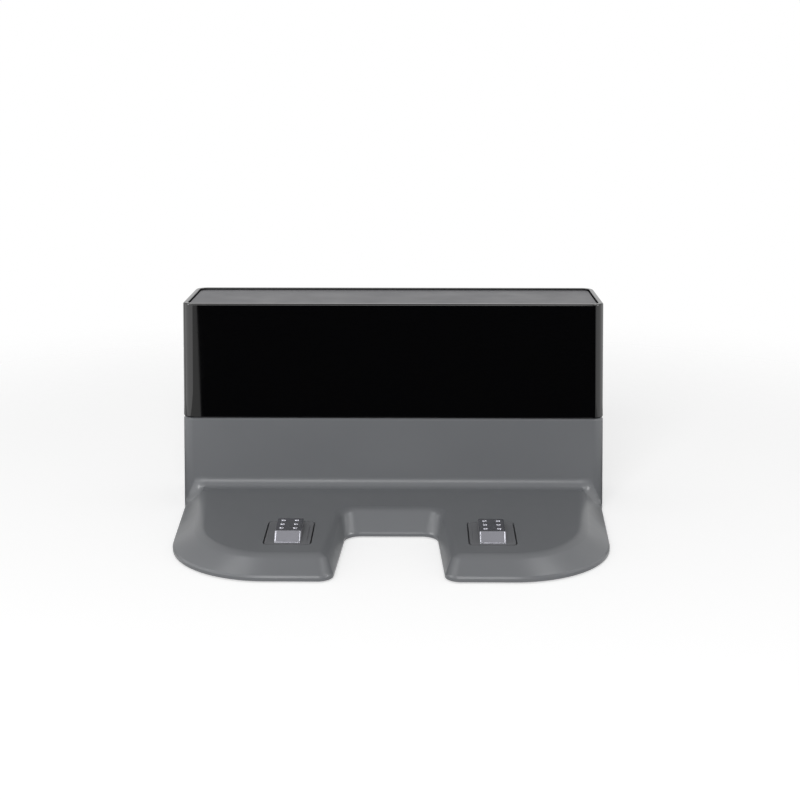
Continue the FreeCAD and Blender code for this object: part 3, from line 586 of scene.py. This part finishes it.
def foot_vertex(shape, outer, x):
    """A vertex at x on the line where the ramp ends at the tower's foot curve."""
    for index, (first, second) in enumerate(zip(outer, outer[1:])):
        at_foot = min(first.co.y, second.co.y) > (TOWER_FACE - FOOT_CURVE - NEAR_FOOT) * MM
        if at_foot and min(first.co.x, second.co.x) < x < max(first.co.x, second.co.x):
            share = (x - first.co.x) / (second.co.x - first.co.x)
            _, made = bmesh.utils.edge_split(shape.edges.get((first, second)), first, share)
            outer.insert(index + 1, made)
            return made


def clear_ramp(shape):
    """Lay the ramp as one face with a strip behind each well, so that no edge ends at its border."""
    faces = ramp_faces(ramp_border(shape))
    rim = [edge for edge in shape.edges if sum(link in faces for link in edge.link_faces) == 1]
    take_out(shape, faces)
    outer, *wells = closed_loops(shape, rim)
    nose = outer.index(min(outer, key=lambda vert: vert.co.y))
    outer = outer[nose:] + outer[:nose]
    for well in wells:
        back = max(vert.co.y for vert in well)
        rear = [vert for vert in well if vert.co.y > back - NEAR_REAR * MM]
        rear.sort(key=lambda vert: vert.co.x)
        pairs = [(foot_vertex(shape, outer, corner.co.x), corner) for corner in (rear[0], rear[-1])]
        (start, near), (end, far) = sorted(pairs, key=lambda pair: outer.index(pair[0]))

        # Round the well from its near rear corner, the way that leaves the rear side for last
        turn = well.index(near)
        loop = well[turn:] + well[:turn]
        if loop[1] in rear:
            loop = [near] + loop[:0:-1]
        stop = loop.index(far)
        first, last = outer.index(start), outer.index(end)
        shape.faces.new(outer[first:last + 1] + loop[stop:] + [near])
        outer = outer[:first + 1] + loop[:stop + 1] + outer[last:]
    shape.faces.new(outer)
    bmesh.ops.recalc_face_normals(shape, faces=shape.faces)


def mark_rounded(shape):
    """Mark the sharp edges to be rounded, all but those of the deck that the window covers."""
    weights = shape.edges.layers.float.new("bevel_weight_edge")
    for edge in shape.edges:
        middle = edge_middle(edge)
        covered = (middle.z > DECK - NEAR_DECK and abs(middle.x) < TOWER_HALF - TOWER_WALL
                   and TOWER_FACE + TOWER_WALL < middle.y < TOWER_BACK - TOWER_WALL)
        edge[weights] = float(not covered and edge.calc_face_angle(0) > SHARP)


def soft_shell():
    """The housing, with the ramp's border rounded more than its other edges."""
    shape = flat_copy("housing")
    square_flank(shape)
    clear_ramp(shape)
    bmesh.ops.bevel(
        shape, geom=ramp_border(shape), offset=BORDER * MM, offset_type="OFFSET",
        segments=BORDER_STEPS, profile=0.5, affect="EDGES", clamp_overlap=False)
    mark_rounded(shape)
    piece = new_piece("housing_soft", shape)
    round_edges(piece, SHELL_EDGE, "WEIGHT")
    place(piece, "housing", shell_grey)


def share_of(value, start, end):
    """How far a value has come from start to end, from 0 to 1."""
    return min(max((value - start) / (end - start), 0), 1)


def bent(corners, steps=6):
    """A line through corners (first, second, radius) with its bends rounded."""
    line = []
    for index, (x, y, radius) in enumerate(corners):
        corner = Vector((x, y))
        if not radius:
            line.append(corner)
            continue
        before = (Vector(corners[index - 1][:2]) - corner).normalized()
        after = (Vector(corners[index + 1][:2]) - corner).normalized()
        half = before.angle(after) / 2
        reach = radius / math.tan(half)
        start, end = corner + before * reach, corner + after * reach
        middle = corner + (before + after).normalized() * (radius / math.sin(half))
        for step in range(steps + 1):
            arm = start.lerp(end, step / steps) - middle
            line.append(middle + arm.normalized() * radius)
    return line


def tower_half(z):
    """Half the tower's width at a height, sunk a little into its skin."""
    return TOWER_HALF - SUNK + (TOWER_TOP - z) * TOWER_LEAN


def tower_point(along, z):
    """A point on the tower's skin: so far along its face and round its corner, at a height."""
    start = tower_half(z) - TOWER_CORNER
    turn = (along - start) / TOWER_CORNER
    middle = TOWER_FACE + TOWER_CORNER
    if turn <= 0:
        return Vector((along, TOWER_FACE, z))
    if turn >= math.pi / 2:
        return Vector((start + TOWER_CORNER, middle + (turn - math.pi / 2) * TOWER_CORNER, z))
    return Vector((start + TOWER_CORNER * math.sin(turn), middle - TOWER_CORNER * math.cos(turn), z))


def flank_section(y):
    """The base's outline at a depth y, from the ramp over the border and down to the floor, as (x, z)."""
    def half(rule):
        return rule[0] - rule[1] * (BASE_END - y)

    ramp = RAMP_BACK + (y - TOWER_FACE) * RAMP_SLOPE
    turn = math.atan2(ramp - LIP_TOP, half(LIP_HALF) - half(RAMP_HALF))
    line = bent([
        (RAMP_HALF[0] - SWEEP_INSET, ramp, 0),
        (half(RAMP_HALF), ramp, BORDER / math.tan(turn / 2)),
        (half(LIP_HALF), LIP_TOP, LIP_BEND),
        (half(FLOOR_HALF), LIP_LOW, FLOOR_BEND),
        (half(FLOOR_HALF), BASE_UNDER, 0)], SECTION_STEPS)
    fine = []
    for first, second in zip(line, line[1:]):
        fine += [first.lerp(second, step / SECTION_PARTS) for step in range(SECTION_PARTS)]
    return fine + [line[-1]]


def base_point(station, y):
    """A point of the base's outline at a depth y, sunk a little into its skin."""
    x, z = flank_section(y)[station]
    return Vector((x - SUNK, y, z - SUNK if z > BASE_UNDER + SUNK else z))


def meeting(station):
    """Where the base meets the tower's skin, and how far along that skin it is."""
    y = TOWER_FACE
    for _ in range(MEETING_TRIES):
        point = base_point(station, y)
        start = tower_half(point.z) - TOWER_CORNER
        out = min(max(point.x - start, 0), TOWER_CORNER)
        y = TOWER_FACE + TOWER_CORNER - math.sqrt(TOWER_CORNER ** 2 - out ** 2)
    along = point.x if out <= 0 else start + TOWER_CORNER * math.asin(out / TOWER_CORNER)
    return point, along


def hollow(foot, point, head):
    """A hollow arc from the base's skin to the tower's, drawn towards the point where they meet."""
    pull = math.cos((point - foot).angle(head - point) / 2)
    line = []
    for step in range(SWEEP_STEPS + 1):
        t = step / SWEEP_STEPS
        weights = ((1 - t) ** 2, 2 * pull * t * (1 - t), t ** 2)
        line.append((foot * weights[0] + point * weights[1] + head * weights[2]) / sum(weights))
    return line


def sweep_lines():
    """The sweep's sections from the ramp down to the floor, each from the base up to the tower."""
    spots = [meeting(station) for station in range(len(flank_section(TOWER_FACE)))]
    last = len(spots) - 1
    lines = []
    for station, (point, along) in enumerate(spots):
        before, after = spots[max(station - SLANT_SPAN, 0)], spots[min(station + SLANT_SPAN, last)]
        slant = min(math.atan2(before[0].z - after[0].z, after[1] - before[1]), math.pi / 2)
        wide = (SWEEP_FLANK - SWEEP_START) * share_of(slant, *SWEEP_WIDENS)
        narrow = (SWEEP_FLANK - SWEEP_END) * share_of(point.z, *SWEEP_NARROWS)
        reach = SWEEP_START + wide - narrow
        foot = base_point(station, point.y - reach)
        head = tower_point(along + reach * math.sin(slant), point.z + reach * math.cos(slant))
        root = point - ((foot + head) / 2 - point).normalized() * SWEEP_ROOT
        root.z = max(root.z, BASE_UNDER)
        lines.append(hollow(foot, point, head) + [root])
    return lines


def corner_sweep(side, sign):
    """The hollow curve that leads the tower's corner into the flank of the base."""
    rings = [[(sign * spot.x * MM, spot.y * MM, spot.z * MM) for spot in line] for line in sweep_lines()]
    shape = skin(rings, SWEEP_STEPS)
    for edge in shape.edges:
        edge.smooth = all(face.smooth for face in edge.link_faces)
    piece = new_piece(f"corner_sweep_{side}", shape)
    piece.data.materials.append(shell_grey)
    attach(piece, "dock")


def ramp_point(distance, lift):
    """A point of a contact's side view, as (y, z) in metres."""
    return (WELL_Y + distance) * MM, (RAMP_AT_WELL + distance * RAMP_SLOPE + lift) * MM


def strip_sides():
    """The upper and lower lines of the contact strip's fold, with a rolled toe."""
    over, under = [], []
    for step in range(ROLL_STEPS):
        turn = math.pi / 2 * step / ROLL_STEPS
        over.append(Vector((
            TOE + TOE_ROLL * (1 - math.cos(turn)), TOE_LEVEL - TOE_ROLL * (1 - math.sin(turn)))))
        under.append(Vector((TOE + TOE_ROLL * step / ROLL_STEPS, TOE_LEVEL - STRIP)))
    return over + bent(FOLD_OVER), under + bent(FOLD_UNDER)


def folded_strip(name, middle):
    """The contact strip's fold, drawn from the side and pulled out to its width, with rolled sides."""
    outer, inner = strip_sides()
    rolls = [math.sin(math.pi / 2 * step / ROLL_STEPS) for step in range(ROLL_STEPS + 1)]
    across = [(STRIP_WIDTH / 2 - ROLL + ROLL * roll, math.sqrt(1 - roll ** 2)) for roll in rolls]
    across = [(-x, rise) for x, rise in reversed(across)] + across
    rings = []
    for x, rise in across:
        thick = ROLL_EDGE + (1 - ROLL_EDGE) * rise
        ring = [under.lerp(over, thick) for under, over in zip(inner, outer)] + inner[::-1]
        rings.append([((middle + x) * MM, *ramp_point(*spot)) for spot in ring])
    piece = new_piece(name, skin(rings))
    round_edges(piece, STRIP_EDGE)
    return piece


def bump_tree():
    """Rows of domes pressed up out of a strip."""
    tree = bpy.data.node_groups.new("contact_bumps", "GeometryNodeTree")
    sockets = tree.interface
    sockets.new_socket("Strip", in_out="INPUT", socket_type="NodeSocketGeometry")
    for name in ("Bump width", "Bump height", "Column gap", "Row gap", "Tilt"):
        sockets.new_socket(name, in_out="INPUT", socket_type="NodeSocketFloat")
    sockets.new_socket("Place", in_out="INPUT", socket_type="NodeSocketVector")
    sockets.new_socket("Finish", in_out="INPUT", socket_type="NodeSocketMaterial")
    sockets.new_socket("Contact", in_out="OUTPUT", socket_type="NodeSocketGeometry")
    given = add_node(tree, "NodeGroupInput").outputs

    def times(value, factor):
        return add_node(tree, "ShaderNodeMath", {0: value, 1: factor}, operation="MULTIPLY").outputs[0]

    grid = add_node(tree, "GeometryNodeMeshGrid", {
        "Vertices X": BUMP_COLUMNS, "Vertices Y": BUMP_ROWS,
        "Size X": times(given["Column gap"], BUMP_COLUMNS - 1),
        "Size Y": times(given["Row gap"], BUMP_ROWS - 1)})
    half = times(given["Bump width"], 0.5)
    swell = add_node(tree, "ShaderNodeCombineXYZ", {"X": half, "Y": half, "Z": given["Bump height"]})
    ball = add_node(tree, "GeometryNodeMeshUVSphere", {
        "Segments": BUMP_SEGMENTS, "Rings": BUMP_RINGS, "Radius": 1})
    dome = add_node(tree, "GeometryNodeTransform", {
        "Geometry": ball.outputs["Mesh"], "Scale": swell.outputs["Vector"]})
    smooth = add_node(tree, "GeometryNodeSetShadeSmooth", {"Geometry": dome.outputs["Geometry"]})
    copies = add_node(tree, "GeometryNodeInstanceOnPoints", {
        "Points": grid.outputs["Mesh"], "Instance": smooth.outputs["Geometry"]})
    lean = add_node(tree, "ShaderNodeCombineXYZ", {"X": given["Tilt"]})
    settle = add_node(tree, "GeometryNodeTransform", {
        "Geometry": copies.outputs["Instances"], "Translation": given["Place"],
        "Rotation": lean.outputs["Vector"]})
    real = add_node(tree, "GeometryNodeRealizeInstances", {"Geometry": settle.outputs["Geometry"]})
    both = add_node(tree, "GeometryNodeJoinGeometry", {"Geometry": real.outputs["Geometry"]})
    tree.links.new(given["Strip"], both.inputs["Geometry"])
    coat = add_node(tree, "GeometryNodeSetMaterial", {
        "Geometry": both.outputs["Geometry"], "Material": given["Finish"]})
    add_node(tree, "NodeGroupOutput", {"Contact": coat.outputs["Geometry"]})
    return tree


def contact_plate(side, middle, tree):
    """The folded strip with its six bumps."""
    name = f"contact_plate_{side}"
    strip = folded_strip(f"{name}_strip", middle)
    pressed = strip.modifiers.new("bumps", "NODES")
    pressed.node_group = tree
    y, z = ramp_point(BUMP_SHIFT, STRIP_LEVEL)
    wanted = {
        "Bump width": BUMP_WIDTH * MM, "Bump height": BUMP_HEIGHT * MM, "Column gap": BUMP_COLUMN * MM,
        "Row gap": BUMP_ROW * MM, "Tilt": math.atan(RAMP_SLOPE), "Place": (middle * MM, y, z),
        "Finish": contact_nickel}
    for item in tree.interface.items_tree:
        if item.in_out == "INPUT" and item.name in wanted:
            pressed[item.identifier] = wanted[item.name]
    bpy.context.view_layer.update()
    made = strip.evaluated_get(bpy.context.evaluated_depsgraph_get())
    mesh = bpy.data.meshes.new_from_object(made)
    mesh.name = f"{name}_bright"
    bpy.data.objects.remove(strip)
    place(in_scene(f"{name}_bright", mesh), name, contact_nickel)


def contact_spring(side):
    """The bow under a contact, as a copy of its solid with its facets joined."""
    name = f"contact_spring_{side}"
    piece = new_piece(f"{name}_bow", joined_copy(name))
    place(piece, name, spring_steel)
    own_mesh(piece)


# Finish, its slot, and edge rounding in millimetres of the pieces that are softened
SOFT_EDGES = {
    "ir_window": (window_black, "window_black", 0.25),
    "top_cover": (cover_grey, "cover_grey", 0.35),
    "bottom_plate": (plate_black, "plate_black", 0.25),
    "contact_carrier_left": (carrier_grey, "carrier_grey", 0.4),
    "contact_carrier_right": (carrier_grey, "carrier_grey", 0.4),
    "power_inlet": (inlet_black, "inlet_black", 0.25),
    "foot_pad_front_left": (foot_rubber, "foot_rubber", 0.3),
    "foot_pad_front_right": (foot_rubber, "foot_rubber", 0.3),
    "foot_pad_rear_left": (foot_rubber, "foot_rubber", 0.3),
    "foot_pad_rear_right": (foot_rubber, "foot_rubber", 0.3),
}
AS_BUILT = {
    "base_screws": screw_steel,
    "inlet_pins": pin_nickel,
    "power_board": board_laminate,
    "line_filter": filter_case,
    "fuse": fuse_case,
    "output_capacitor": capacitor_sleeve,
    "mains_capacitor": capacitor_sleeve,
    "heat_sink": sink_aluminium,
    "transformer_core": core_ferrite,
    "transformer_winding": winding_tape,
    "emitter_holder": holder_black,
    "emitter_board": board_laminate,
    "ir_emitter_far_left": emitter_resin,
    "ir_emitter_left": emitter_resin,
    "ir_emitter_right": emitter_resin,
    "ir_emitter_far_right": emitter_resin,
    "contact_strap_left": strap_brass,
    "contact_strap_right": strap_brass,
    "beacon_ribbon": ribbon_white,
}

soft_shell()
for name, (material, slot, width) in SOFT_EDGES.items():
    softened(name, material, width)
for name, material in AS_BUILT.items():
    dress(name, material)
bumps = bump_tree()
for side, sign in SIDES:
    corner_sweep(side, sign)
    contact_plate(side, sign * WELL_X, bumps)
    contact_spring(side)


# Studio


def seen(tree):
    """1 for what the camera, a reflection or a clear piece sees, 0 for the light itself."""
    path = add_node(tree, "ShaderNodeLightPath")
    total = path.outputs["Is Camera Ray"]
    for ray in ("Is Glossy Ray", "Is Transmission Ray"):
        more = add_node(tree, "ShaderNodeMath", {0: total, 1: path.outputs[ray]}, operation="MAXIMUM")
        total = more.outputs[0]
    return total


def white_surround(level):
    """White where it is seen, and a plain even light on the dock."""
    world = bpy.data.worlds.new("studio")
    world.use_nodes = True
    bpy.context.scene.world = world
    tree = world.node_tree
    span = add_node(tree, "ShaderNodeMapRange", {"Value": seen(tree), "To Min": level, "To Max": 1})
    sky = tree.nodes["Background"]
    sky.inputs["Color"].default_value = (1, 1, 1, 1)
    tree.links.new(span.outputs["Result"], sky.inputs["Strength"])


def floor_finish(colour, lift, fade_from, fade_to):
    """Matt white that glows where it is seen, clear far out and from below."""
    material = bpy.data.materials.new("pale_floor")
    material.use_nodes = True
    tree = material.node_tree
    tree.nodes.clear()
    matt = add_node(tree, "ShaderNodeBsdfDiffuse", {"Color": (colour, colour, colour, 1)})
    strength = add_node(tree, "ShaderNodeMath", {0: seen(tree), 1: lift}, operation="MULTIPLY")
    glow = add_node(tree, "ShaderNodeEmission", {"Strength": strength.outputs[0]})
    both = add_node(tree, "ShaderNodeAddShader", {0: matt.outputs[0], 1: glow.outputs[0]})
    clear = add_node(tree, "ShaderNodeBsdfTransparent")
    side = add_node(tree, "ShaderNodeNewGeometry")
    spot = add_node(tree, "ShaderNodeTexCoord")
    distance = add_node(tree, "ShaderNodeVectorMath", {0: spot.outputs["Object"]}, operation="LENGTH")
    reach = {"Value": distance.outputs["Value"], "From Min": fade_from, "From Max": fade_to}
    fade = add_node(tree, "ShaderNodeMapRange", reach, interpolation_type="SMOOTHSTEP")
    either = {0: side.outputs["Backfacing"], 1: fade.outputs["Result"]}
    away = add_node(tree, "ShaderNodeMath", either, operation="MAXIMUM")
    mix = add_node(tree, "ShaderNodeMixShader", {
        0: away.outputs[0], 1: both.outputs[0], 2: clear.outputs[0]})
    add_node(tree, "ShaderNodeOutputMaterial", {"Surface": mix.outputs[0]})
    return material


def pale_floor(size, material):
    """A floor that takes the dock's shadow and fades into the white surround."""
    shape = bmesh.new()
    bmesh.ops.create_grid(shape, x_segments=1, y_segments=1, size=size / 2)
    floor = new_piece("studio_floor", shape)
    floor.data.materials.append(material)


def black_card(name, corners):
    """A card laid on the floor out of the picture, which the gloss surfaces mirror."""
    material = finish(name, (4, 4, 4), 0.9, {"Specular IOR Level": 0.0})
    shape = bmesh.new()
    shape.faces.new([shape.verts.new((x, y, CARD_HEIGHT)) for x, y in corners])
    card = new_piece(name, shape)
    card.data.materials.append(material)
    card.visible_camera = False
    card.visible_diffuse = False
    card.visible_shadow = False


def softbox(name, where, aim, width, height, power, mirrored_only=True):
    """A lamp of a size in metres and a power in watts, which lights the dock or is only mirrored."""
    lamp = bpy.data.lights.new(name, "AREA")
    lamp.shape = "RECTANGLE"
    lamp.size = width
    lamp.size_y = height
    lamp.energy = power
    holder = in_scene(name, lamp)
    holder.location = where
    holder.rotation_euler = (Vector(aim) - Vector(where)).to_track_quat("-Z", "Y").to_euler()
    holder.visible_camera = False
    holder.visible_diffuse = not mirrored_only


def photo_camera(where, pitch, yaw, roll, lens):
    """The camera of the photograph: pitch is downwards, yaw to the right, in degrees."""
    pitch, yaw, roll = (math.radians(angle) for angle in (pitch, yaw, roll))
    forward = Vector((math.sin(yaw) * math.cos(pitch), math.cos(yaw) * math.cos(pitch), -math.sin(pitch)))
    right = Vector((math.cos(yaw), -math.sin(yaw), 0))
    up = right.cross(forward)
    across = right * math.cos(roll) + up * math.sin(roll)
    over = across.cross(forward)
    turned = Matrix((across, over, -forward)).transposed().to_4x4()
    data = bpy.data.cameras.new("photo_view")
    data.sensor_width = SENSOR
    data.lens = lens
    data.clip_start = CLIP_START
    camera = in_scene("photo_view", data)
    camera.matrix_world = Matrix.Translation(where) @ turned
    bpy.context.scene.camera = camera


white_surround(level=0.42)
pale_floor(2.4, floor_finish(colour=0.8, lift=0.47, fade_from=0.25, fade_to=0.6))
black_card("card_front", FRONT_CARD)
for side, sign in SIDES:
    black_card(f"card_{side}", [(sign * x, y) for x, y in SIDE_CARD][::sign])
softbox("front", (-0.15, -1.35, 0.76), (0, 0, 0.04), 0.9, 0.6, 11, mirrored_only=False)
softbox("side_left", (-0.26, -0.06, 0.1), (-0.1, 0.03, 0.06), 0.36, 0.22, 0.38)
softbox("side_right", (0.28, 0.0, 0.1), (0.1, 0.03, 0.06), 0.3, 0.22, 0.16)
for side, sign in SIDES:
    softbox(f"wing_{side}", (sign * 0.9, -0.25, 0.72), RAMP_MIDDLE, 0.3, 0.3, 6)
for side, sign in SIDES:
    softbox(f"roof_{side}", (sign * 0.5, -0.06, 0.95), RAMP_MIDDLE, 0.26, 0.26, 1.4)
photo_camera((0.0127, -0.6334, 0.2264), pitch=14.26, yaw=-0.79, roll=-0.04, lens=60.525)
bpy.context.scene.view_settings.view_transform = "Standard"
